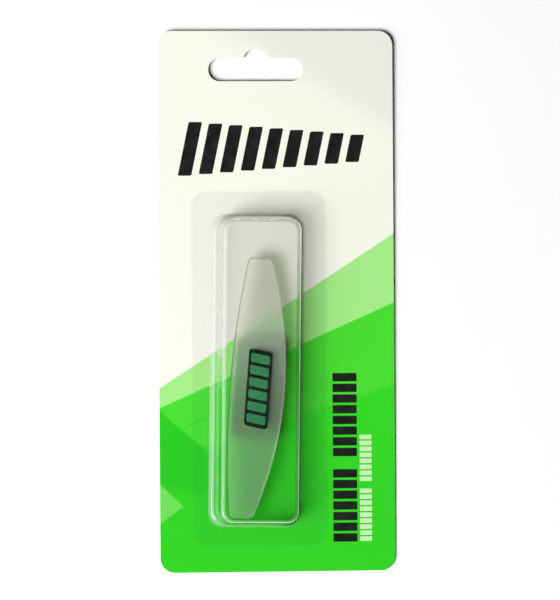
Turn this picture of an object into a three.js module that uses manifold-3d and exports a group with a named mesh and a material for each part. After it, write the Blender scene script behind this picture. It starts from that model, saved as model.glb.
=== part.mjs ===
// Leaf-shaped string dampener for a racket, in its carded blister pack.
// Millimetres. The card lies on its back: +Z is the card's normal, +X its right-hand side and
// +Y points to the hang slot. The origin is the centre of the card's underside.

import * as THREE from 'three';
import { mergeVertices } from 'three/addons/utils/BufferGeometryUtils.js';
import Module from 'manifold-3d';

const wasm = await Module();
wasm.setup();

// ---- driving dimensions ----

const card = { width: 80, length: 181.5, thickness: 0.6, corner: 5 };

// The hang slot is a long round-ended hole with a round hump for a single hook.
const slot = { x: -6.7, y: 77.7, width: 32, height: 7.7, humpRadius: 4.1, humpSink: 0.9 };

// The clear sheet covers the whole card and rises into one dome. Its flange lies on the card.
const sheet = { thickness: 0.35, seat: 0.05 };
const dome = {
  x: -7.2,
  y: -23.2,
  turn: THREE.MathUtils.degToRad(-0.9),
  width: 31.6,
  length: 105,
  height: 12,
  sideInset: 3.8,
  endInset: 2.5,
  baseCorner: 5,
  topCorner: 3.7,
  flare: { side: 2, end: 1.3, rise: 1.7 },
  fillet: { side: 1.4, end: 1, fall: 1.2 },
};

// The dampener's leaf: two long arcs, cut off square at the ends. It lies turned in the dome
// and bends a little sideways along its length.
const leaf = {
  x: -9.95,
  y: -29.1,
  turn: THREE.MathUtils.degToRad(-4.8),
  length: 87.6,
  halfWidth: 9.3,
  sideRadius: 178,
  endRounding: 1.5,
  thickness: 2.8,
  endThickness: 2.2,
  edgeRadius: 0.9,
  sideBend: 2.2,
  droop: 0.6,
};

// The dark rubber core under the leaf's middle, with a snap-in channel for each main string.
const core = { width: 15, length: 34, height: 4, corner: 3, bevel: 0.4 };
const channel = { count: 4, pitch: 9, radius: 0.9, rise: 1.5, mouth: 1.1 };

// The raised emblem on the leaf: a slanted dark plate that carries a row of plain bars.
const plate = { width: 8, length: 25.8, corner: 1.3, thickness: 0.4 };
const bar = { count: 6, width: 6.4, length: 3, corner: 0.6, thickness: 0.3 };
const emblemSlant = Math.tan(THREE.MathUtils.degToRad(-8));

const runningGap = 0.3;
const restGap = 0.05;
const cornerSegments = 3;
const filletSteps = 4;
const leafStations = 32;

// ---- heights, worked up from the card's underside ----

const cardTop = card.thickness;
const flangeBottom = cardTop + sheet.seat;
const flangeTop = flangeBottom + sheet.thickness;
const coreBottom = cardTop + runningGap;
const leafBottom = coreBottom + core.height + runningGap;
const leafMiddle = leafBottom + leaf.thickness / 2;
const plateBottom = leafBottom + leaf.thickness + restGap;
const barBottom = plateBottom + plate.thickness + restGap;

// ---- helpers ----

function finish(name, geometry, colour, roughness, metalness = 0, opacity = 1) {
  const material = new THREE.MeshStandardMaterial({
    color: colour,
    roughness,
    metalness,
    opacity,
    transparent: opacity < 1,
  });
  const mesh = new THREE.Mesh(geometry, material);
  mesh.name = name;
  return mesh;
}

function toSolid(geometry) {
  const bare = geometry.clone();
  bare.deleteAttribute('normal');
  bare.deleteAttribute('uv');
  const merged = mergeVertices(bare);
  return new wasm.Manifold(new wasm.Mesh({
    numProp: 3,
    vertProperties: new Float32Array(merged.attributes.position.array),
    triVerts: new Uint32Array(merged.index.array),
  }));
}

function toGeometry(solid) {
  const mesh = solid.getMesh();
  const geometry = new THREE.BufferGeometry();
  geometry.setAttribute('position', new THREE.BufferAttribute(mesh.vertProperties, 3));
  geometry.setIndex(new THREE.BufferAttribute(mesh.triVerts, 1));
  return geometry;
}

function roundedRectangle(width, length, radius) {
  const x = width / 2 - radius;
  const y = length / 2 - radius;
  const quarter = Math.PI / 2;
  const shape = new THREE.Shape();
  shape.absarc(x, y, radius, 0, quarter);
  shape.absarc(-x, y, radius, quarter, 2 * quarter);
  shape.absarc(-x, -y, radius, 2 * quarter, 3 * quarter);
  shape.absarc(x, -y, radius, 3 * quarter, 4 * quarter);
  shape.closePath();
  return shape;
}

function extrude(shape, depth, options = {}) {
  return new THREE.ExtrudeGeometry(shape, {
    depth,
    bevelEnabled: false,
    curveSegments: 2 * cornerSegments,
    ...options,
  });
}

// A closed skin through convex rings of equal point count, capped flat at both ends. Each ring
// runs anticlockwise about the direction from the first ring to the last.
function loft(rings) {
  const count = rings[0].length;
  const last = (rings.length - 1) * count;
  const index = [];
  for (let start = 0; start < last; start += count) {
    for (let i = 0; i < count; i += 1) {
      const a = start + i;
      const b = start + ((i + 1) % count);
      index.push(a, b, b + count);
      index.push(a, b + count, a + count);
    }
  }
  for (let i = 1; i + 1 < count; i += 1) {
    index.push(0, i + 1, i);
    index.push(last, last + i, last + i + 1);
  }
  const geometry = new THREE.BufferGeometry().setFromPoints(rings.flat());
  geometry.setIndex(index);
  geometry.computeVertexNormals();
  return geometry;
}

function ringPoints(shape) {
  const points = shape.getPoints(cornerSegments);
  const closes = points[0].distanceTo(points[points.length - 1]) < 1e-6;
  return closes ? points.slice(0, -1) : points;
}

function slant(geometry) {
  const shear = new THREE.Matrix4().makeShear(emblemSlant, 0, 0, 0, 0, 0);
  return geometry.applyMatrix4(shear);
}

// ---- card and blister ----

function hangSlot() {
  const bottom = cardTop - card.thickness - runningGap;
  const depth = flangeTop + runningGap - bottom;
  const long = extrude(roundedRectangle(slot.width, slot.height, slot.height / 2 - 1e-3), depth);
  const hump = new THREE.CylinderGeometry(slot.humpRadius, slot.humpRadius, depth, 8 * cornerSegments);
  hump.rotateX(Math.PI / 2);
  hump.translate(0, slot.height / 2 - slot.humpSink, depth / 2);
  return toSolid(long).add(toSolid(hump)).translate([slot.x, slot.y, bottom]);
}

function cardPlate(thickness, bottom) {
  const outline = roundedRectangle(card.width, card.length, card.corner);
  return toSolid(extrude(outline, thickness)).translate([0, 0, bottom]);
}

function backingCard() {
  const solid = cardPlate(card.thickness, 0).subtract(hangSlot());
  return finish('backing_card', toGeometry(solid), 0x3bd834, 0.45);
}

// The dome's wall as insets from its base outline: a hollow flare off the flange, a drafted
// wall, then a round edge into the flat top.
function domeProfile() {
  const flare = [];
  const edge = [];
  for (let step = 0; step <= filletSteps; step += 1) {
    const angle = (Math.PI / 2) * (step / filletSteps);
    const across = Math.sin(angle);
    const along = Math.cos(angle);
    flare.push({
      side: dome.flare.side * across,
      end: dome.flare.end * across,
      z: dome.flare.rise * (1 - along),
    });
    edge.push({
      side: dome.sideInset - dome.fillet.side * along,
      end: dome.endInset - dome.fillet.end * along,
      z: dome.height - dome.fillet.fall * (1 - across),
    });
  }
  return [...flare, ...edge];
}

function domeSolid(shrink, floor) {
  const profile = domeProfile();
  const rings = [{ ...profile[0], z: floor + shrink }, ...profile].map(({ side, end, z }) => {
    const rise = Math.max(z, 0) / dome.height;
    const radius = THREE.MathUtils.lerp(dome.baseCorner, dome.topCorner, rise) - shrink;
    const width = dome.width - 2 * (side + shrink);
    const length = dome.length - 2 * (end + shrink);
    const outline = ringPoints(roundedRectangle(width, length, radius));
    return outline.map((point) => new THREE.Vector3(point.x, point.y, z - shrink));
  });
  const place = new THREE.Matrix4().makeRotationZ(dome.turn);
  place.setPosition(dome.x, dome.y, flangeTop);
  return toSolid(loft(rings).applyMatrix4(place));
}

function blisterShell() {
  const outer = domeSolid(0, -sheet.thickness / 2);
  const hollow = domeSolid(sheet.thickness, -sheet.thickness - runningGap);
  const solid = cardPlate(sheet.thickness, flangeBottom)
    .add(outer)
    .subtract(hollow)
    .subtract(hangSlot());
  return finish('blister_shell', toGeometry(solid), 0xf4f8f6, 0.08, 0, 0.3);
}

// ---- dampener, in the leaf's own frame: +Y along it, the origin under its middle ----

function leafHalfWidth(along) {
  const { halfWidth, sideRadius, endRounding, length } = leaf;
  const sag = sideRadius - Math.sqrt(sideRadius ** 2 - along ** 2);
  const pastCorner = Math.abs(along) - (length / 2 - endRounding);
  const reach = Math.max(pastCorner, 0) / endRounding;
  const rounding = endRounding * (1 - Math.sqrt(1 - Math.min(reach, 1) ** 2));
  return halfWidth - sag - rounding;
}

function leafRing(along) {
  const halves = (2 * along) / leaf.length;
  const fall = halves ** 2;
  const thickness = THREE.MathUtils.lerp(leaf.thickness, leaf.endThickness, fall);
  const section = roundedRectangle(2 * leafHalfWidth(along), thickness, leaf.edgeRadius);
  const x = leaf.sideBend * (1 - fall);
  const z = leafMiddle - leaf.droop * fall;
  return ringPoints(section).map((point) => new THREE.Vector3(x + point.x, along, z + point.y));
}

// Stations crowd towards the ends, where the corners turn.
function dampenerBody() {
  const rings = [];
  for (let station = 0; station <= leafStations; station += 1) {
    const angle = (Math.PI * station) / leafStations;
    rings.push(leafRing((leaf.length / 2) * Math.cos(angle)));
  }
  return finish('dampener_body', loft(rings), 0xd6e2d2, 0.35, 0, 0.6);
}

function stringChannel(y) {
  const across = core.width + 2 * runningGap;
  const round = new THREE.CylinderGeometry(channel.radius, channel.radius, across, 4 * filletSteps);
  round.rotateZ(Math.PI / 2);
  const mouth = new THREE.BoxGeometry(across, channel.mouth, 2 * channel.rise);
  const z = coreBottom + channel.rise;
  return toSolid(round).translate([0, y, z])
    .add(toSolid(mouth).translate([0, y, z - channel.rise]));
}

function dampingCore() {
  const { width, length, height, corner, bevel } = core;
  const outline = roundedRectangle(width - 2 * bevel, length - 2 * bevel, corner - bevel);
  const block = extrude(outline, height - 2 * bevel, {
    bevelEnabled: true,
    bevelThickness: bevel,
    bevelSize: bevel,
    bevelSegments: 2,
  });
  let solid = toSolid(block).translate([0, 0, coreBottom + bevel]);
  for (let i = 0; i < channel.count; i += 1) {
    const y = (i - (channel.count - 1) / 2) * channel.pitch;
    solid = solid.subtract(stringChannel(y));
  }
  const mesh = finish('damping_core', toGeometry(solid), 0x0d661a, 0.7);
  mesh.position.x = leaf.sideBend;
  return mesh;
}

function emblemPlate() {
  const outline = roundedRectangle(plate.width, plate.length, plate.corner);
  const mesh = finish('emblem_plate', slant(extrude(outline, plate.thickness)), 0x0c120e, 0.4);
  mesh.position.set(leaf.sideBend, 0, plateBottom);
  return mesh;
}

function emblemBars() {
  const pitch = (plate.length - (plate.width - bar.width)) / bar.count;
  const meshes = [];
  for (let i = 0; i < bar.count; i += 1) {
    const outline = roundedRectangle(bar.width, bar.length, bar.corner);
    const name = `emblem_bar_${i + 1}`;
    const mesh = finish(name, slant(extrude(outline, bar.thickness)), 0x37815a, 0.4);
    mesh.position.set(leaf.sideBend, (i - (bar.count - 1) / 2) * pitch, barBottom);
    meshes.push(mesh);
  }
  return meshes;
}

// ---- assembly ----

const dampener = new THREE.Group();
dampener.position.set(leaf.x, leaf.y, 0);
dampener.rotation.z = leaf.turn;
dampener.add(dampenerBody(), dampingCore(), emblemPlate(), ...emblemBars());

const pack = new THREE.Group();
pack.add(backingCard(), blisterShell(), dampener);

export default pack;
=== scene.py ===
"""Looks for a string dampener in its carded blister pack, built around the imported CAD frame.

Lengths named in capitals are millimetres in the frame's axes: the card lies on its back, +Y runs
up the card to the hang slot and +Z is the card's normal. Meshes are written in metres.
"""

import math

import bmesh
import bpy
import numpy as np
from mathutils import Matrix, Vector


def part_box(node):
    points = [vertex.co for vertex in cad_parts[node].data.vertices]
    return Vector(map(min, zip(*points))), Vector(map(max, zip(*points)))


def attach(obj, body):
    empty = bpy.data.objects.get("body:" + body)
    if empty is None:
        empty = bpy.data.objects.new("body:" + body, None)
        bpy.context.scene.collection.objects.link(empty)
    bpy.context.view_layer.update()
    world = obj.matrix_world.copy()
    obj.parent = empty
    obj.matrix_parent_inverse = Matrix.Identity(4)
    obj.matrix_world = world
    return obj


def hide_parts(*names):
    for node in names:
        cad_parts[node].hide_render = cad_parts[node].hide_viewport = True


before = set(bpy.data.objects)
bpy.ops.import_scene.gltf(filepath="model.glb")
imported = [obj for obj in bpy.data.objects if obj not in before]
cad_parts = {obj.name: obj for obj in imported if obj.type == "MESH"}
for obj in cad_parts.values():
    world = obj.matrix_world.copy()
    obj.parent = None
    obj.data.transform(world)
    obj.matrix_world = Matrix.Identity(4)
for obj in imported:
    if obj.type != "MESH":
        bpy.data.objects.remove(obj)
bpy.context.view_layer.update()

MM = 0.001

# ---- sizes of the pieces ----

CARD_CORNER = 5.0
SLOT_X, SLOT_Y, SLOT_WIDTH, SLOT_HEIGHT = -6.7, 77.7, 32.0, 7.7
HUMP_RADIUS, HUMP_SINK = 4.1, 0.9
SHEET_THICKNESS = 0.35
DOME_X, DOME_Y, DOME_TURN = -7.2, -23.2, math.radians(-0.9)
DOME_WIDTH, DOME_LENGTH = 31.6, 105.0
SIDE_INSET, END_INSET = 3.8, 2.5
BASE_CORNER, TOP_CORNER = 5.0, 3.7
FLARE_SIDE, FLARE_END, FLARE_RISE = 2.0, 1.3, 1.7
FILLET_SIDE, FILLET_END, FILLET_FALL = 1.4, 1.0, 1.2
LEAF_X, LEAF_Y, LEAF_TURN = -9.95, -29.1, math.radians(-4.8)
LEAF_LENGTH, LEAF_HALF_WIDTH, LEAF_SIDE_RADIUS = 87.6, 9.3, 178.0
LEAF_THICKNESS, LEAF_END_THICKNESS = 2.8, 2.2
LEAF_BEND, LEAF_DROOP = 2.2, 0.6
LEAF_PLAN_ROUNDING, LEAF_EDGE, LEAF_END_EDGE, LEAF_CROWN = 1.5, 0.9, 0.7, 0.12
CORE_WIDTH, CORE_LENGTH, CORE_CORNER, CORE_EDGE = 15.0, 34.0, 3.0, 0.4
CHANNEL_COUNT, CHANNEL_PITCH, CHANNEL_RADIUS, CHANNEL_RISE, CHANNEL_MOUTH = 4, 9.0, 0.9, 1.5, 1.1
PLATE_WIDTH, PLATE_LENGTH, PLATE_CORNER, PLATE_EDGE = 8.0, 25.8, 1.3, 0.15
BAR_COUNT, BAR_WIDTH, BAR_LENGTH, BAR_CORNER, BAR_EDGE = 6, 6.4, 3.0, 0.6, 0.1
EMBLEM_SLANT = math.tan(math.radians(-8))
CARD_EDGE, SHEET_EDGE = 0.08, 0.06

# ---- sizes of the print ----

INK_THICKNESS = 0.02
HEADER_X, HEADER_Y = -1.1, 51.2
HEADER_COUNT, HEADER_PITCH, HEADER_WIDTH, HEADER_CORNER = 9, 7.0, 4.6, 0.5
HEADER_HEIGHT, HEADER_FALL = 18.0, 1.1
HEADER_LEAN = math.tan(math.radians(12))
SIDE_CORNER = 0.2
# name, x, middle, blocks in each group, block width, pitch and gap between blocks
SIDE_BLACK = ("side_print_black", 22.9, -52.6, (7, 8), 8.2, 3.59, 0.8)
SIDE_WHITE = ("side_print_white", 29.95, -62.9, (9, 8), 4.1, 2.01, 0.5)

# ---- fineness of the meshes ----

# A narrow flat strip beside each rounded edge keeps the shading of the wide flat faces even.
FLAT_MARGIN = 0.05
ARC_STEPS = 14
EDGE_STEPS = 3
CURVE_STEPS = 8
HEADER_STEPS, SIDE_STEPS, BAR_STEPS, LEAF_EDGE_STEPS = 4, 3, 6, 8
LEAF_STATIONS = 120
LEAF_EDGE_MARGIN = 0.01
CHANNEL_OVERCUT = 1.0
SHARP_ANGLE, LEAF_SHARP_ANGLE, SHEET_SHARP_ANGLE = 35, 50, 60

# ---- outlines ----


def arc(x, y, radius, start, end, steps=ARC_STEPS):
    """Points along an arc, both ends included. Angles are in degrees."""
    angles = np.radians(np.linspace(start, end, steps + 1))
    return [(x + radius * math.cos(a), y + radius * math.sin(a)) for a in angles]


def rounded_rectangle(width, length, radius, steps=ARC_STEPS):
    """An anticlockwise rectangle about the origin with round corners."""
    x, y = width / 2 - radius, length / 2 - radius
    corners = ((x, y, 0), (-x, y, 90), (-x, -y, 180), (x, -y, 270))
    return [p for cx, cy, turn in corners for p in arc(cx, cy, radius, turn, turn + 90, steps)]


def moved(ring, x, y, turn=0.0):
    """The ring turned about the origin, then shifted."""
    c, s = math.cos(turn), math.sin(turn)
    return [(x + c * px - s * py, y + s * px + c * py) for px, py in ring]


def slanted(ring, slant):
    """The ring sheared, so that its X edges follow the slant."""
    return [(x, y + slant * x) for x, y in ring]


def inset(ring, distance):
    """The ring moved to the left of its own direction, which is inwards where it is anticlockwise."""
    points = np.array(ring)
    ahead = np.roll(points, -1, axis=0) - points
    ahead /= np.linalg.norm(ahead, axis=1)[:, None]
    left = np.stack([-ahead[:, 1], ahead[:, 0]], axis=1)
    bisector = left + np.roll(left, 1, axis=0)
    bisector /= np.linalg.norm(bisector, axis=1)[:, None]
    stretch = 1 / (bisector * left).sum(axis=1)
    return [tuple(p) for p in points + bisector * (distance * stretch)[:, None]]


def hang_slot_outline():
    """A clockwise euro slot: a round-ended hole with a round hump on its upper side."""
    end = SLOT_HEIGHT / 2
    reach = SLOT_WIDTH / 2 - end
    foot = math.degrees(math.asin(HUMP_SINK / HUMP_RADIUS))
    hump = arc(0, end - HUMP_SINK, HUMP_RADIUS, foot, 180 - foot)
    ring = arc(reach, 0, end, -90, 90) + hump + arc(-reach, 0, end, 90, 270)
    return moved(ring, SLOT_X, SLOT_Y)[::-1]


# ---- mesh helpers ----


def add_ring(mesh, ring, height):
    """The ring's corners as mesh vertices at one height."""
    return [mesh.verts.new((x * MM, y * MM, height * MM)) for x, y in ring]


def bridge(mesh, first, second, material=0):
    """A band of faces between two rings of equal count."""
    for i in range(len(first)):
        j = (i + 1) % len(first)
        face = mesh.faces.new((first[i], first[j], second[j], second[i]))
        face.material_index = material


def bridge_all(mesh, rings, material=0):
    """Bands of faces through a whole stack of rings."""
    for first, second in zip(rings, rings[1:]):
        bridge(mesh, first, second, material)


def fill(mesh, rings, material=0):
    """A flat face bounded by one ring, or by an outer ring and the rings of its holes."""
    if len(rings) == 1:
        mesh.faces.new(rings[0]).material_index = material
        return
    edges = [mesh.edges.get((r[i - 1], r[i])) for r in rings for i in range(len(r))]
    made = bmesh.ops.triangle_fill(mesh, use_beauty=True, edges=edges)["geom"]
    for face in (part for part in made if isinstance(part, bmesh.types.BMFace)):
        face.material_index = material


def finish_mesh(mesh, name, materials, sharp_angle=SHARP_ANGLE):
    """A linked object with its faces pointing out, smooth but for edges above the angle in degrees."""
    bmesh.ops.recalc_face_normals(mesh, faces=mesh.faces[:])
    for face in mesh.faces:
        face.smooth = True
    data = bpy.data.meshes.new(name)
    mesh.to_mesh(data)
    mesh.free()
    data.set_sharp_from_angle(angle=math.radians(sharp_angle))
    for material in materials:
        data.materials.append(material)
    made = bpy.data.objects.new(name, data)
    bpy.context.scene.collection.objects.link(made)
    return made


def edge_profile(bottom, top, edge):
    """(inset, height) steps up a wall with rounded edges, from flat face to flat face."""
    angles = np.linspace(0, math.pi / 2, EDGE_STEPS + 1)
    lower = [(edge * (1 - math.sin(a)), bottom + edge * (1 - math.cos(a))) for a in angles]
    upper = [(edge * (1 - math.cos(a)), top - edge * (1 - math.sin(a))) for a in angles]
    return [(edge + FLAT_MARGIN, bottom)] + lower + upper + [(edge + FLAT_MARGIN, top)]


def slab_mesh(outlines, bottom, top, edge):
    """A flat plate with rounded edges, from an outer ring and clockwise rings for its holes."""
    mesh = bmesh.new()
    stacks = []
    for outline in outlines:
        stack = [add_ring(mesh, inset(outline, d), z) for d, z in edge_profile(bottom, top, edge)]
        bridge_all(mesh, stack)
        stacks.append(stack)
    fill(mesh, [stack[0] for stack in stacks])
    fill(mesh, [stack[-1] for stack in stacks])
    return mesh


def slab(name, outlines, bottom, top, edge, materials):
    """A plate with rounded edges as a named piece."""
    return finish_mesh(slab_mesh(outlines, bottom, top, edge), name, materials)


def ink(name, outlines, bottom, materials):
    """Printed shapes as one thin layer of separate plates."""
    mesh = bmesh.new()
    for outline in outlines:
        low = add_ring(mesh, outline, bottom)
        high = add_ring(mesh, outline, bottom + INK_THICKNESS)
        bridge(mesh, low, high)
        fill(mesh, [low])
        fill(mesh, [high])
    return finish_mesh(mesh, name, materials)


def place(made, body, slot, *nodes):
    """Rides the piece on its CAD body and hides the CAD nodes it stands for. Its record slot is not used."""
    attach(made, body)
    if nodes:
        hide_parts(*nodes)
    return made


# ---- material helpers ----

NOISE_SPAN = (0.3, 0.7)
BLACK = (0.0, 0.0, 0.0, 1)
WHITE = (1.0, 1.0, 1.0, 1)


def srgb(red, green, blue):
    """A colour given as 0 to 255 screen values, as linear light."""
    def linear(value):
        part = value / 255
        return part / 12.92 if part <= 0.04045 else ((part + 0.055) / 1.055) ** 2.4
    return (linear(red), linear(green), linear(blue), 1.0)


def new_material(name):
    """A material without nodes, and its node tree."""
    made = bpy.data.materials.new(name)
    made.use_nodes = True
    made.node_tree.nodes.clear()
    return made, made.node_tree


def add(tree, kind, inputs=None, **settings):
    """A shader node with its settings, and its inputs set or linked."""
    made = tree.nodes.new("ShaderNode" + kind)
    for name, value in settings.items():
        setattr(made, name, value)
    for name, value in (inputs or {}).items():
        if isinstance(value, bpy.types.NodeSocket):
            tree.links.new(value, made.inputs[name])
        else:
            made.inputs[name].default_value = value
    return made


def calc(tree, operation, *values):
    """The result of one step of arithmetic on numbers and sockets."""
    return add(tree, "Math", dict(enumerate(values)), operation=operation).outputs[0]


def mix(tree, factor, first, second):
    """A colour between two colours."""
    made = add(tree, "Mix", {0: factor, 6: first, 7: second}, data_type="RGBA")
    return made.outputs[2]


def fit(tree, value, low, high, to_low=0.0, to_high=1.0):
    """The value's way from low to high, eased and clamped, as a number between two others."""
    made = add(tree, "MapRange", {
        "Value": value, "From Min": low, "From Max": high, "To Min": to_low, "To Max": to_high,
    }, interpolation_type="SMOOTHSTEP")
    return made.outputs["Result"]


def uneven(tree, height, low, high):
    """Noise spread between two values."""
    return fit(tree, height, *NOISE_SPAN, low, high)


def object_place(tree):
    """The surface point in the piece's own axes, in metres."""
    return add(tree, "TexCoord").outputs["Object"]


def noise(tree, size, detail=2.0, stretch=(1, 1, 1)):
    """Noise whose lumps are about size mm across, as a number round 0.5."""
    scale = tuple(part / (size * MM) for part in stretch)
    mapped = add(tree, "Mapping", {"Vector": object_place(tree), "Scale": scale})
    made = add(tree, "TexNoise", {"Vector": mapped.outputs[0], "Scale": 1.0, "Detail": detail})
    return made.outputs["Fac"]


def bump(tree, height, depth):
    """A bumped normal. Depth is the height in mm that a step from 0 to 1 stands for."""
    made = add(tree, "Bump", {"Height": height, "Distance": depth * MM, "Strength": 1.0})
    return made.outputs["Normal"]


def output(tree, surface):
    """Ends the material in this surface."""
    add(tree, "OutputMaterial", {"Surface": surface})


def clear_to_light(tree, surface, tint):
    """The surface as it is seen, with direct and bounced light shining through it by the tint."""
    light_path = add(tree, "LightPath")
    passing = add(tree, "BsdfTransparent", {"Color": tint})
    for ray in ("Is Diffuse Ray", "Is Shadow Ray"):
        made = add(tree, "MixShader", {0: light_path.outputs[ray], 1: surface, 2: passing.outputs[0]})
        surface = made.outputs[0]
    return surface


# ---- the card's print ----

PAPER_WARM = srgb(249, 246, 236)
PAPER_COOL = srgb(237, 234, 230)
PALE_GREEN = srgb(166, 235, 138)
MAIN_GREEN = srgb(54, 215, 38)
LIGHT_GREEN = srgb(74, 219, 50)
DEEP_GREEN = srgb(42, 202, 34)
TINT_GREEN = srgb(133, 229, 106)

# Borders of the printed areas: two points of a line, then how far it fades to either side.
SHARP = 0.12
PAPER_FADE = (-17.3, 91.0), (37.5, 59.5), 6.0
PAPER_EDGE = (-40.0, -29.0), (40.0, 22.6), SHARP
PALE_EDGE = (-40.0, -35.6), (40.0, -0.6), SHARP
LIGHT_EDGE = (39.2, -28.4), (26.4, -32.5), 0.5
WEDGE_TOP = (-38.6, -37.9), (-34.5, -41.3), 0.6
WEDGE_FOOT = (-40.0, -62.0), (-20.0, -66.0), 4.0
CORNER_TOP = (-38.8, -62.2), (-32.1, -68.5), 0.4
CORNER_FOOT = (-32.1, -68.5), (-38.5, -73.2), 0.4

WEDGE_RIGHT, WEDGE_LEFT = -20.0, -26.0
CORNER_SHARE = 0.7
RING_X, RING_Y, RING_RADIUS, RING_HALF_WIDTH, RING_SHARE = -22.3, -51.8, 12.8, 0.9, 0.45
DUSK_TOP, DUSK_FOOT, DUSK_SHARE = -35.0, -75.0, 0.08

# A rounded area around the dome is a shade darker than the rest of the print.
DIM_CENTRE, DIM_HALF, DIM_CORNER, DIM_FADE = (-6.0, -22.6), (23.2, 60.0), 5.5, 0.9
DIM_SHADE, DIM_SHARE = srgb(30, 30, 70), 0.1


class Print:
    """The card's face in mm, with masks for the printed areas."""

    def __init__(self, tree):
        parts = add(tree, "SeparateXYZ", {0: object_place(tree)})
        self.tree = tree
        self.x = calc(tree, "DIVIDE", parts.outputs[0], MM)
        self.y = calc(tree, "DIVIDE", parts.outputs[1], MM)

    def above(self, start, end, softness):
        """1 on the upper side of the line through two points, 0 below it."""
        slope = (end[1] - start[1]) / (end[0] - start[0])
        line = calc(self.tree, "MULTIPLY_ADD", self.x, slope, start[1] - slope * start[0])
        over = calc(self.tree, "SUBTRACT", self.y, line)
        return fit(self.tree, over, -softness, softness)

    def below(self, start, end, softness):
        """1 on the lower side of the line through two points, 0 above it."""
        return calc(self.tree, "SUBTRACT", 1.0, self.above(start, end, softness))

    def overlap(self, *masks):
        """1 where all the masks are 1."""
        joined = masks[0]
        for mask in masks[1:]:
            joined = calc(self.tree, "MULTIPLY", joined, mask)
        return joined

    def length(self, x, y):
        """How long the vector (x, y) is."""
        squares = [calc(self.tree, "MULTIPLY", part, part) for part in (x, y)]
        return calc(self.tree, "SQRT", calc(self.tree, "ADD", *squares))

    def distance(self, x, y):
        """How far the face's point is from (x, y)."""
        return self.length(calc(self.tree, "SUBTRACT", self.x, x), calc(self.tree, "SUBTRACT", self.y, y))

    def inside(self, centre, half, corner, fade):
        """1 inside a rounded rectangle, fading to 0 at its outline."""
        past = []
        for along, middle, side in zip((self.x, self.y), centre, half):
            off = calc(self.tree, "ABSOLUTE", calc(self.tree, "SUBTRACT", along, middle))
            past.append(calc(self.tree, "MAXIMUM", calc(self.tree, "SUBTRACT", off, side - corner), 0.0))
        return fit(self.tree, self.length(*past), corner, corner - fade)


def card_print(tree):
    """White paper over a pale green band over bright green, with faint tone-on-tone facets."""
    face = Print(tree)
    paper = mix(tree, face.above(*PAPER_FADE), PAPER_WARM, PAPER_COOL)
    green = mix(tree, face.above(*LIGHT_EDGE), MAIN_GREEN, LIGHT_GREEN)
    left = fit(tree, face.x, WEDGE_RIGHT, WEDGE_LEFT)
    wedge = face.overlap(left, face.below(*WEDGE_TOP), face.above(*WEDGE_FOOT))
    green = mix(tree, wedge, green, DEEP_GREEN)
    corner = face.overlap(face.below(*CORNER_TOP), face.above(*CORNER_FOOT))
    green = mix(tree, calc(tree, "MULTIPLY", corner, CORNER_SHARE), green, TINT_GREEN)
    off = calc(tree, "ABSOLUTE", calc(tree, "SUBTRACT", face.distance(RING_X, RING_Y), RING_RADIUS))
    ring = calc(tree, "MULTIPLY", fit(tree, off, RING_HALF_WIDTH, 0.0), RING_SHARE)
    green = mix(tree, ring, green, DEEP_GREEN)
    green = mix(tree, fit(tree, face.y, DUSK_TOP, DUSK_FOOT, 0.0, DUSK_SHARE), green, BLACK)
    printed = mix(tree, face.below(*PALE_EDGE), PALE_GREEN, green)
    printed = mix(tree, face.below(*PAPER_EDGE), paper, printed)
    # The face is darkened a little in a rounded area around the dome.
    dimmed = face.inside(DIM_CENTRE, DIM_HALF, DIM_CORNER, DIM_FADE)
    return mix(tree, calc(tree, "MULTIPLY", dimmed, DIM_SHARE), printed, DIM_SHADE)


# ---- card, board and ink ----

MOTTLE_SIZE, MOTTLE_SPAN, MOTTLE_VALUES = 0.5, (0.2, 0.8), (0.97, 1.02)
PRINT_ROUGHNESS, PRINT_SPECULAR = (0.4, 0.5), 0.12
INK_ROUGHNESS, INK_WEAR_SPAN = (0.3, 0.45), (0.35, 0.8)
BOARD_CUT, BOARD_BACK = srgb(236, 236, 228), srgb(222, 222, 214)
BOARD_DARK_SHARE = 0.86
BLACK_INK = (0.006, 0.007, 0.006, 1), (0.014, 0.015, 0.014, 1)
BLACK_SIDE_INK = (0.004, 0.008, 0.004, 1), (0.012, 0.02, 0.012, 1)
WHITE_SIDE_INK = srgb(205, 244, 188), srgb(190, 238, 172)
# A face of the card whose normal leans less than this along Z belongs to its cut edge.
EDGE_LEAN = 0.5


def printed_face_material():
    """The card's coated front: its print, faintly mottled, with a low sheen."""
    made, tree = new_material("coated_print")
    mottle = fit(tree, noise(tree, MOTTLE_SIZE, detail=3.0), *MOTTLE_SPAN, *MOTTLE_VALUES)
    colour = add(tree, "HueSaturation", {"Color": card_print(tree), "Value": mottle}).outputs[0]
    shader = add(tree, "BsdfPrincipled", {
        "Base Color": colour,
        "Roughness": uneven(tree, noise(tree, size=4.0), *PRINT_ROUGHNESS),
        "Specular IOR Level": PRINT_SPECULAR,
        "Normal": bump(tree, noise(tree, size=0.25, detail=4.0), depth=0.004),
    })
    output(tree, shader.outputs[0])
    return made


def board_material(name, colour, streaks):
    """Bare paperboard: fibres in a slightly uneven tone."""
    made, tree = new_material(name)
    fibres = noise(tree, size=0.6, detail=5.0, stretch=streaks)
    dark = tuple(BOARD_DARK_SHARE * part for part in colour[:3]) + (1,)
    shader = add(tree, "BsdfPrincipled", {
        "Base Color": mix(tree, uneven(tree, fibres, 0.0, 1.0), dark, colour),
        "Roughness": 0.85,
        "Normal": bump(tree, fibres, depth=0.02),
    })
    output(tree, shader.outputs[0])
    return made


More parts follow.
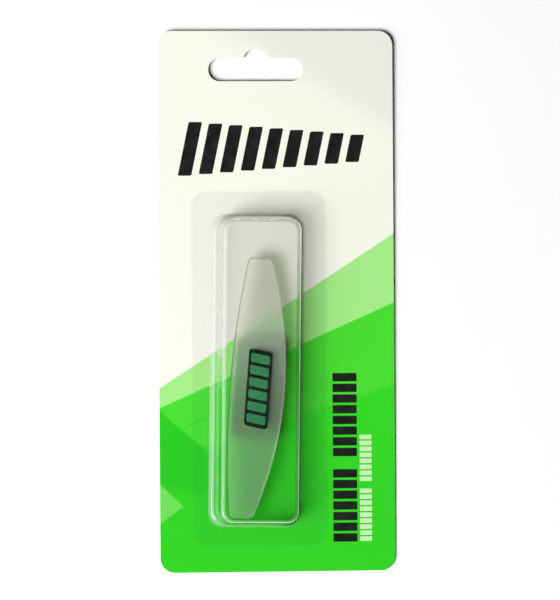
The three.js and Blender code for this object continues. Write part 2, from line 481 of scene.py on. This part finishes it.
def ink_material(name, colour, worn):
    """Printed ink, a little worn in specks."""
    made, tree = new_material(name)
    shader = add(tree, "BsdfPrincipled", {
        "Base Color": mix(tree, fit(tree, noise(tree, size=0.4, detail=4.0), *INK_WEAR_SPAN), colour, worn),
        "Roughness": uneven(tree, noise(tree, size=3.0), *INK_ROUGHNESS),
        "Normal": bump(tree, noise(tree, size=0.25, detail=4.0), depth=0.003),
    })
    output(tree, shader.outputs[0])
    return made


# ---- the clear sheet ----

SHEET_TINT, SHEET_INDEX, SHEET_ROUGHNESS = srgb(252, 253, 252), 1.38, 0.02
SHEET_LIGHT = srgb(248, 249, 248)
RIPPLE_SHARE = 0.12
HAZE_ROUGHNESS, HAZE_DIFFUSE_SHARE = 0.72, 0.4
# The haze is a sheen painted on the side towards the lights. It grows as the normal turns from right to left
# and from level to upright.
LIT_SIDE_HAZE_SPAN, HAZE_UP_SPAN, SHADED_SIDE_HAZE = (0.3, -0.2), (0.4, 0.7), 0.1
CURVE_HAZE = 0.17
PLAIN_FALL, CURVE_FALL = 3.5, 2.0
FOOT_TOP, FOOT_BOTTOM, FOOT_SHARE = 7.0, 1.0, 0.35
FOOT_LEFT, FOOT_RIGHT = -4.0, 4.0
SEALED_TINT, SEALED_SHINE = srgb(254, 255, 254), (0.8, 0.8, 0.8, 1)
RIM_FALL, RIM_SHARE, FACE_SHARE = 5.0, 0.3, 0.004


def facing_away(tree):
    """0 where the surface is seen face on, rising to 1 where it is seen edge on."""
    return add(tree, "LayerWeight", {"Blend": 0.5}).outputs["Facing"]


def lit_side_haze(tree, grain):
    """How hazy the sheet is, painted as a sheen on its side towards the lights: most where it turns up and
    to the left, and nothing on its walls.
    """
    across, _, up = add(tree, "SeparateXYZ", {0: add(tree, "NewGeometry").outputs["Normal"]}).outputs
    leftward = fit(tree, across, *LIT_SIDE_HAZE_SPAN, SHADED_SIDE_HAZE, 1.0)
    lean = calc(tree, "MULTIPLY", leftward, fit(tree, up, *HAZE_UP_SPAN))
    return calc(tree, "MULTIPLY", lean, grain)


def light_lost(tree, fall):
    """The share of light the sheet stops: at steep slopes, and at the foot of the right-hand wall."""
    x, _, z = add(tree, "SeparateXYZ", {0: object_place(tree)}).outputs
    low = fit(tree, z, FOOT_TOP * MM, FOOT_BOTTOM * MM, 0.0, FOOT_SHARE)
    foot = calc(tree, "MULTIPLY", low, fit(tree, x, FOOT_LEFT * MM, FOOT_RIGHT * MM))
    return calc(tree, "MAXIMUM", foot, calc(tree, "POWER", facing_away(tree), fall))


def dome_material(name, grain, fall):
    """Thermoformed clear sheet, faintly wavy, with a painted sheen of haze on its side towards the lights. A
    lower fall makes its slopes stop more light.
    """
    made, tree = new_material(name)
    ripples = calc(tree, "MULTIPLY", noise(tree, size=3.0, detail=1.0), RIPPLE_SHARE)
    waves = calc(tree, "ADD", noise(tree, size=14.0, detail=1.0), ripples)
    glass = add(tree, "BsdfGlass", {
        "Color": SHEET_TINT, "Roughness": SHEET_ROUGHNESS, "IOR": SHEET_INDEX,
        "Normal": bump(tree, waves, depth=0.05),
    })
    sheen = add(tree, "BsdfGlossy", {"Color": WHITE, "Roughness": HAZE_ROUGHNESS})
    white = add(tree, "BsdfDiffuse", {"Color": WHITE})
    haze = add(tree, "MixShader", {0: HAZE_DIFFUSE_SHARE, 1: sheen.outputs[0], 2: white.outputs[0]})
    # The white, glossy haze is painted sheen: it is kept to the side of the sheet that faces the lights.
    surface = add(tree, "MixShader", {0: lit_side_haze(tree, grain), 1: glass.outputs[0], 2: haze.outputs[0]})
    light = mix(tree, light_lost(tree, fall), SHEET_LIGHT, BLACK)
    output(tree, clear_to_light(tree, surface.outputs[0], light))
    return made


def flange_material():
    """The same sheet where it lies sealed on the card, with hardly any surface between them."""
    made, tree = new_material("clear_sheet_sealed")
    film = add(tree, "BsdfTransparent", {"Color": SEALED_TINT})
    shine = add(tree, "BsdfGlossy", {
        "Color": SEALED_SHINE, "Roughness": 0.22, "Normal": bump(tree, noise(tree, size=5.0), depth=0.02),
    })
    rim = calc(tree, "MULTIPLY_ADD", calc(tree, "POWER", facing_away(tree), RIM_FALL), RIM_SHARE, FACE_SHARE)
    surface = add(tree, "MixShader", {0: rim, 1: film.outputs[0], 2: shine.outputs[0]})
    output(tree, clear_to_light(tree, surface.outputs[0], SEALED_TINT))
    return made


# ---- the dampener ----

SILICONE_DULL, SILICONE_BRIGHT = srgb(248, 247, 240), srgb(252, 251, 246)
# The dark rim colour is painted shade, laid on where the leaf is seen edge on.
SILICONE_RIM_SHADE, SILICONE_LIGHT = srgb(50, 70, 46), srgb(212, 218, 207)
CLEAREST, CLOUDIEST = 0.96, 0.82
CLEAREST_Y, CLOUDIEST_Y = -38.0, -6.0
# The core's bright green is partly its rubber and partly painted light: the green glow scattered in from the
# print around it.
CORE_GREEN_AND_BOUNCE = srgb(3, 138, 16), srgb(12, 148, 26)
EMBLEM_BLACK = srgb(10, 22, 12), srgb(18, 32, 20)
EMBLEM_GREEN = srgb(52, 128, 82), srgb(70, 146, 98)
DUST_SPAN = (0.45, 0.8)
RUBBER_UNEVENNESS = 0.06


def silicone_material():
    """Frosted silicone: mostly clear inside, blurred by its surface, cloudier up the leaf and darkened by
    painted shade where it is seen edge on.
    """
    made, tree = new_material("frosted_silicone")
    face_on = mix(tree, noise(tree, size=6.0), SILICONE_DULL, SILICONE_BRIGHT)
    along = add(tree, "SeparateXYZ", {0: object_place(tree)}).outputs[1]
    frosted = add(tree, "BsdfPrincipled", {
        # Painted shade: the colour darkens towards the rim, where the leaf is seen edge on.
        "Base Color": mix(tree, calc(tree, "POWER", facing_away(tree), 2.0), face_on, SILICONE_RIM_SHADE),
        "Roughness": 0.65,
        "IOR": 1.41,
        "Specular IOR Level": 0.2,
        "Transmission Weight": fit(tree, along, CLEAREST_Y * MM, CLOUDIEST_Y * MM, CLEAREST, CLOUDIEST),
        "Normal": bump(tree, noise(tree, size=0.12), depth=0.006),
    })
    output(tree, clear_to_light(tree, frosted.outputs[0], SILICONE_LIGHT))
    return made


def rubber_material(name, colour, dusty, roughness, grain_size):
    """Moulded rubber with a fine grain and a little dust in lumps."""
    made, tree = new_material(name)
    dust = fit(tree, noise(tree, size=1.5, detail=5.0), *DUST_SPAN)
    smoothest, roughest = roughness - RUBBER_UNEVENNESS, roughness + RUBBER_UNEVENNESS
    shader = add(tree, "BsdfPrincipled", {
        "Base Color": mix(tree, dust, colour, dusty),
        "Roughness": uneven(tree, noise(tree, size=2.0), smoothest, roughest),
        "Specular IOR Level": 0.35,
        "Normal": bump(tree, noise(tree, grain_size, detail=3.0), depth=0.012),
    })
    output(tree, shader.outputs[0])
    return made


# ---- heights, from the frame ----

card_low, card_high = (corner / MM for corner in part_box("backing_card"))
sheet_low, sheet_high = (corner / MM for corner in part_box("blister_shell"))
core_low, core_high = (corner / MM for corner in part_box("damping_core"))
leaf_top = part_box("dampener_body")[1].z / MM
plate_low, plate_high = (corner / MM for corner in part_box("emblem_plate"))
bar_low, bar_high = (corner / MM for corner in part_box("emblem_bar_1"))
card_width = card_high.x - card_low.x
card_length = card_high.y - card_low.y
card_top = card_high.z
sheet_bottom = sheet_low.z
sheet_top = sheet_bottom + SHEET_THICKNESS
dome_height = sheet_high.z - sheet_top

# ---- camera and light ----

VIEW_TILT = math.radians(9.35)
VIEW_ROLL = 0.00667
VIEW_HEIGHT = 201.3
VIEW_CENTRE = Vector((1.136, 0.4, 0.6)) * MM
CAMERA_DISTANCE, CAMERA_NEAR = 2.5, 0.25
SENSOR = 36.0

# name, direction from the pack, distance and diameter in metres, power in watts
SOFTBOXES = (
    ("key_softbox", (-0.8, -0.44, 1.0), 3.0, 1.75, 118),
    ("left_softbox", (-1.0, -0.2, 0.6), 2.4, 2.2, 22),
)
# The studio's brightness goes by how far a direction leans towards the lights, and by its height.
STUDIO_TOWARD_X, STUDIO_TOWARD_Y = -0.85, -0.5
STUDIO_SIDES = (-0.3, 0.6)
STUDIO_HEIGHTS = (0.95, 0.2)
STUDIO_OVERHEAD, STUDIO_LIT_SIDE, STUDIO_FAR_SIDE = 0.03, 0.5, 0.05
FLOOR_GAP, FLOOR_FALL, FLOOR_SIZE, FLOOR_CORNER = 0.02, 1.0, 6000, 100
FLOOR_TONES = (0.96, 0.96, 0.96, 1), (0.98, 0.98, 0.98, 1)


def make_camera():
    """A long lens that looks down on the pack from a little to its left."""
    data = bpy.data.cameras.new("camera")
    data.sensor_width = SENSOR
    data.lens = SENSOR * CAMERA_DISTANCE / (VIEW_HEIGHT * MM)
    data.clip_start = CAMERA_NEAR
    camera = bpy.data.objects.new("camera", data)
    back = Vector((-math.sin(VIEW_TILT), 0, math.cos(VIEW_TILT)))
    across = Vector((math.cos(VIEW_TILT), 0, math.sin(VIEW_TILT)))
    right = (across - VIEW_ROLL * Vector((0, 1, 0))).normalized()
    up = back.cross(right)
    turn = Matrix((right, up, back)).transposed()
    camera.matrix_world = Matrix.Translation(VIEW_CENTRE + back * CAMERA_DISTANCE) @ turn.to_4x4()
    bpy.context.scene.collection.objects.link(camera)
    bpy.context.scene.camera = camera


def make_area_light(name, direction, distance, size, power):
    """A round softbox that faces the pack."""
    data = bpy.data.lights.new(name, "AREA")
    data.shape = "DISK"
    data.size = size
    data.energy = power
    lamp = bpy.data.objects.new(name, data)
    toward = Vector(direction).normalized()
    lamp.location = toward * distance
    lamp.rotation_mode = "QUATERNION"
    lamp.rotation_quaternion = toward.to_track_quat("Z", "Y")
    lamp.visible_camera = False
    lamp.visible_transmission = False
    bpy.context.scene.collection.objects.link(lamp)


def make_world():
    """A plain studio: dim overhead, pale low down towards the lights and dim away from them."""
    world = bpy.data.worlds.new("studio")
    world.use_nodes = True
    tree = world.node_tree
    way = add(tree, "SeparateXYZ", {0: add(tree, "TexCoord").outputs["Generated"]})
    toward = calc(tree, "MULTIPLY", way.outputs[1], STUDIO_TOWARD_Y)
    toward = calc(tree, "MULTIPLY_ADD", way.outputs[0], STUDIO_TOWARD_X, toward)
    low = fit(tree, toward, *STUDIO_SIDES, STUDIO_FAR_SIDE, STUDIO_LIT_SIDE)
    strength = fit(tree, way.outputs[2], *STUDIO_HEIGHTS, STUDIO_OVERHEAD, low)
    tree.links.new(strength, tree.nodes["Background"].inputs["Strength"])
    bpy.context.scene.world = world


def make_floor():
    """A white table that falls away a little towards the slot, as a bowed card stands off it."""
    made, tree = new_material("studio_floor")
    shader = add(tree, "BsdfPrincipled", {
        "Base Color": mix(tree, noise(tree, size=30.0), *FLOOR_TONES),
        "Roughness": 0.9,
    })
    output(tree, shader.outputs[0])
    mesh = bmesh.new()
    fill(mesh, [add_ring(mesh, rounded_rectangle(FLOOR_SIZE, FLOOR_SIZE, FLOOR_CORNER), 0)])
    floor = finish_mesh(mesh, "floor", [made])
    floor.location.z = (card_low.z - FLOOR_GAP - FLOOR_FALL / 2) * MM
    floor.rotation_euler.x = -FLOOR_FALL / card_length
    floor.visible_glossy = False


# ---- pieces ----


def card_part(face):
    """Which of the card's materials a face takes: 0 on its front, 1 on its edge and 2 on its back."""
    if abs(face.normal.z) < EDGE_LEAN:
        return 1
    return 0 if face.normal.z > 0 else 2


def make_card():
    """The card with its corners, slot and printed front. Only its cut edge and back show board."""
    outline = rounded_rectangle(card_width, card_length, CARD_CORNER)
    made = slab("printed_card", [outline, hang_slot_outline()], card_low.z, card_top, CARD_EDGE, [
        printed_face_material(),
        board_material("board_edge", BOARD_CUT, (1, 1, 6)),
        board_material("board_back", BOARD_BACK, (1, 2, 1)),
    ])
    for face in made.data.polygons:
        face.material_index = card_part(face)
    place(made, "card", "printed_card", "backing_card")


def make_header_print():
    """Slanted bars of falling height, like a vibration that dies out."""
    bars = []
    for i in range(HEADER_COUNT):
        bar = rounded_rectangle(HEADER_WIDTH, HEADER_HEIGHT - HEADER_FALL * i, HEADER_CORNER, HEADER_STEPS)
        bar = [(x + HEADER_LEAN * y, y) for x, y in bar]
        bars.append(moved(bar, HEADER_X + (i - (HEADER_COUNT - 1) / 2) * HEADER_PITCH, HEADER_Y))
    material = ink_material("black_ink", *BLACK_INK)
    place(ink("header_print", bars, card_top, [material]), "card", "printed_card")


def make_side_print(material, name, x, middle, groups, width, pitch, gap):
    """Plain blocks in a line up the card, in groups with a space between them."""
    total = (sum(groups) + len(groups) - 1) * pitch
    blocks = []
    y = middle - total / 2 + pitch / 2
    for count in groups:
        for _ in range(count):
            block = rounded_rectangle(width, pitch - gap, SIDE_CORNER, SIDE_STEPS)
            blocks.append(moved(block, x, y))
            y += pitch
        y += pitch
    place(ink(name, blocks, card_top, [material]), "card", "printed_card")


def dome_profile():
    """(side inset, end inset, height) steps: a hollow flare, a drafted wall, then a round edge."""
    flare, edge = [], []
    for angle in np.linspace(0, math.pi / 2, CURVE_STEPS + 1):
        across, along = math.sin(angle), math.cos(angle)
        flare.append((FLARE_SIDE * across, FLARE_END * across, FLARE_RISE * (1 - along)))
        edge.append((SIDE_INSET - FILLET_SIDE * along, END_INSET - FILLET_END * along,
                     dome_height - FILLET_FALL * (1 - across)))
    foot = (-FLAT_MARGIN, -FLAT_MARGIN, 0.0)
    roof = (SIDE_INSET + FLAT_MARGIN, END_INSET + FLAT_MARGIN, dome_height)
    return [foot] + flare + edge + [roof]


def dome_rings(mesh, shrink):
    """The dome's rings from its foot to its top. Shrink moves them in and down by that much."""
    rings = []
    for side, end, height in dome_profile():
        radius = BASE_CORNER + (TOP_CORNER - BASE_CORNER) * height / dome_height - shrink
        width = DOME_WIDTH - 2 * (side + shrink)
        length = DOME_LENGTH - 2 * (end + shrink)
        outline = moved(rounded_rectangle(width, length, radius), DOME_X, DOME_Y, DOME_TURN)
        rings.append(add_ring(mesh, outline, sheet_top + height - shrink))
    return rings


def make_blister():
    """One clear sheet: a flange over the whole card, with the dome raised out of it."""
    clear, hazed, sealed = range(3)
    mesh = bmesh.new()
    borders = []
    for outline in (rounded_rectangle(card_width, card_length, CARD_CORNER), hang_slot_outline()):
        profile = edge_profile(sheet_bottom, sheet_top, SHEET_EDGE)
        stack = [add_ring(mesh, inset(outline, d), z) for d, z in profile]
        bridge_all(mesh, stack, sealed)
        borders.append(stack)
    for end, shrink, curved in ((-1, 0.0, hazed), (0, SHEET_THICKNESS, clear)):
        foot, *wall, roof = dome_rings(mesh, shrink)
        flare, edge = wall[:CURVE_STEPS + 1], wall[CURVE_STEPS + 1:]
        bridge(mesh, foot, flare[0], sealed)
        fill(mesh, [borders[0][end], borders[1][end], foot], sealed)
        bridge_all(mesh, flare, curved)
        bridge(mesh, flare[-1], edge[0], clear)
        bridge_all(mesh, edge, curved)
        bridge(mesh, edge[-1], roof, clear)
        fill(mesh, [roof], clear)
    made = finish_mesh(mesh, "clear_blister", [
        dome_material("clear_sheet", 0.0, PLAIN_FALL),
        dome_material("clear_sheet_curve", CURVE_HAZE, CURVE_FALL),
        flange_material(),
    ], SHEET_SHARP_ANGLE)
    place(made, "blister", "clear_blister", "blister_shell")


def leaf_ring(along):
    """The leaf's section at a distance from its middle, as (x, z) about the section's centre."""
    def rounding(size):
        past = max(abs(along) - (LEAF_LENGTH / 2 - size), 0) / size
        return size * (1 - math.sqrt(max(1 - past ** 2, 0)))

    fall = (2 * along / LEAF_LENGTH) ** 2
    sag = LEAF_SIDE_RADIUS - math.sqrt(LEAF_SIDE_RADIUS ** 2 - along ** 2)
    half = LEAF_HALF_WIDTH - sag - rounding(LEAF_PLAN_ROUNDING)
    thickness = LEAF_THICKNESS + (LEAF_END_THICKNESS - LEAF_THICKNESS) * fall
    thickness -= 2 * rounding(LEAF_END_EDGE)
    edge = min(LEAF_EDGE, thickness / 2 - LEAF_EDGE_MARGIN)
    section = rounded_rectangle(2 * half, thickness, edge, LEAF_EDGE_STEPS)
    middle = leaf_top - LEAF_THICKNESS / 2 - LEAF_DROOP * fall
    points = []
    for x, z in section:
        crown = LEAF_CROWN * (x / half) ** 4 if z > 0 else 0.0
        points.append((LEAF_BEND * (1 - fall) + x, middle + z - crown))
    return points


def leaf_place(x, y):
    """A point of the leaf's own plan, in the frame."""
    return moved([(x, y)], LEAF_X, LEAF_Y, LEAF_TURN)[0]


def make_leaf():
    """The leaf, from ring to ring along its length, with closed ends."""
    mesh = bmesh.new()
    rings = []
    for station in range(LEAF_STATIONS + 1):
        along = LEAF_LENGTH / 2 * math.cos(math.pi * station / LEAF_STATIONS)
        ring = []
        for x, z in leaf_ring(along):
            px, py = leaf_place(x, along)
            ring.append(mesh.verts.new((px * MM, py * MM, z * MM)))
        rings.append(ring)
    bridge_all(mesh, rings)
    fill(mesh, [rings[0]])
    fill(mesh, [rings[-1]])
    made = finish_mesh(mesh, "silicone_leaf", [silicone_material()], LEAF_SHARP_ANGLE)
    place(made, "dampener", "frosted_silicone", "dampener_body")


def on_leaf(ring, x, y):
    """A ring drawn about the point (x, y) of the leaf's plan."""
    return moved(moved(ring, x, y), LEAF_X, LEAF_Y, LEAF_TURN)


def make_core():
    """The rubber core under the leaf, with a row of string channels across it."""
    outline = on_leaf(rounded_rectangle(CORE_WIDTH, CORE_LENGTH, CORE_CORNER), LEAF_BEND, 0)
    material = rubber_material("core_rubber", *CORE_GREEN_AND_BOUNCE, roughness=0.7, grain_size=0.3)
    made = slab("string_core", [outline], core_low.z, core_high.z, CORE_EDGE, [material])
    for i in range(CHANNEL_COUNT):
        cut_channel(made, (i - (CHANNEL_COUNT - 1) / 2) * CHANNEL_PITCH)
    made.data.set_sharp_from_angle(angle=math.radians(SHARP_ANGLE))
    place(made, "dampener", "core_rubber", "damping_core")


def cut_channel(core, along):
    """Cuts one snap-in string channel: a round bore with a narrower mouth below it."""
    rise = core_low.z + CHANNEL_RISE
    foot = math.degrees(math.asin(CHANNEL_MOUTH / 2 / CHANNEL_RADIUS))
    section = arc(0, rise, CHANNEL_RADIUS, -90 + foot, 270 - foot)
    section += [(side * CHANNEL_MOUTH / 2, core_low.z - CHANNEL_OVERCUT) for side in (-1, 1)]
    mesh = bmesh.new()
    ends = []
    for x in (-CORE_WIDTH, CORE_WIDTH):
        ring = []
        for y, z in section:
            px, py = leaf_place(LEAF_BEND + x, along + y)
            ring.append(mesh.verts.new((px * MM, py * MM, z * MM)))
        ends.append(ring)
        fill(mesh, [ring])
    bridge(mesh, *ends)
    cutter = finish_mesh(mesh, "channel_cutter", [])
    cut = core.modifiers.new("channel", "BOOLEAN")
    cut.operation = "DIFFERENCE"
    cut.object = cutter
    shaped = core.evaluated_get(bpy.context.evaluated_depsgraph_get())
    core.data = bpy.data.meshes.new_from_object(shaped)
    core.modifiers.clear()
    bpy.data.objects.remove(cutter)


def make_emblem():
    """The emblem on the leaf: a black base and a row of green stripes."""
    plate = slanted(rounded_rectangle(PLATE_WIDTH, PLATE_LENGTH, PLATE_CORNER), EMBLEM_SLANT)
    black = rubber_material("emblem_black", *EMBLEM_BLACK, roughness=0.4, grain_size=0.2)
    outline = on_leaf(plate, LEAF_BEND, 0)
    base = slab("emblem_base", [outline], plate_low.z, plate_high.z, PLATE_EDGE, [black])
    place(base, "dampener", "emblem_black", "emblem_plate")
    green = rubber_material("emblem_green", *EMBLEM_GREEN, roughness=0.4, grain_size=0.2)
    pitch = (PLATE_LENGTH - (PLATE_WIDTH - BAR_WIDTH)) / BAR_COUNT
    for i in range(BAR_COUNT):
        bar = slanted(rounded_rectangle(BAR_WIDTH, BAR_LENGTH, BAR_CORNER, BAR_STEPS), EMBLEM_SLANT)
        ring = on_leaf(bar, LEAF_BEND, (i - (BAR_COUNT - 1) / 2) * pitch)
        made = slab(f"emblem_stripe_{i + 1}", [ring], bar_low.z, bar_high.z, BAR_EDGE, [green])
        place(made, "dampener", "emblem_green", f"emblem_bar_{i + 1}")


# ---- the scene ----

bpy.context.scene.view_settings.view_transform = "Standard"
make_camera()
for softbox in SOFTBOXES:
    make_area_light(*softbox)
make_world()
make_floor()
make_card()
make_header_print()
make_side_print(ink_material("black_side_ink", *BLACK_SIDE_INK), *SIDE_BLACK)
make_side_print(ink_material("white_side_ink", *WHITE_SIDE_INK), *SIDE_WHITE)
make_blister()
make_leaf()
make_core()
make_emblem()
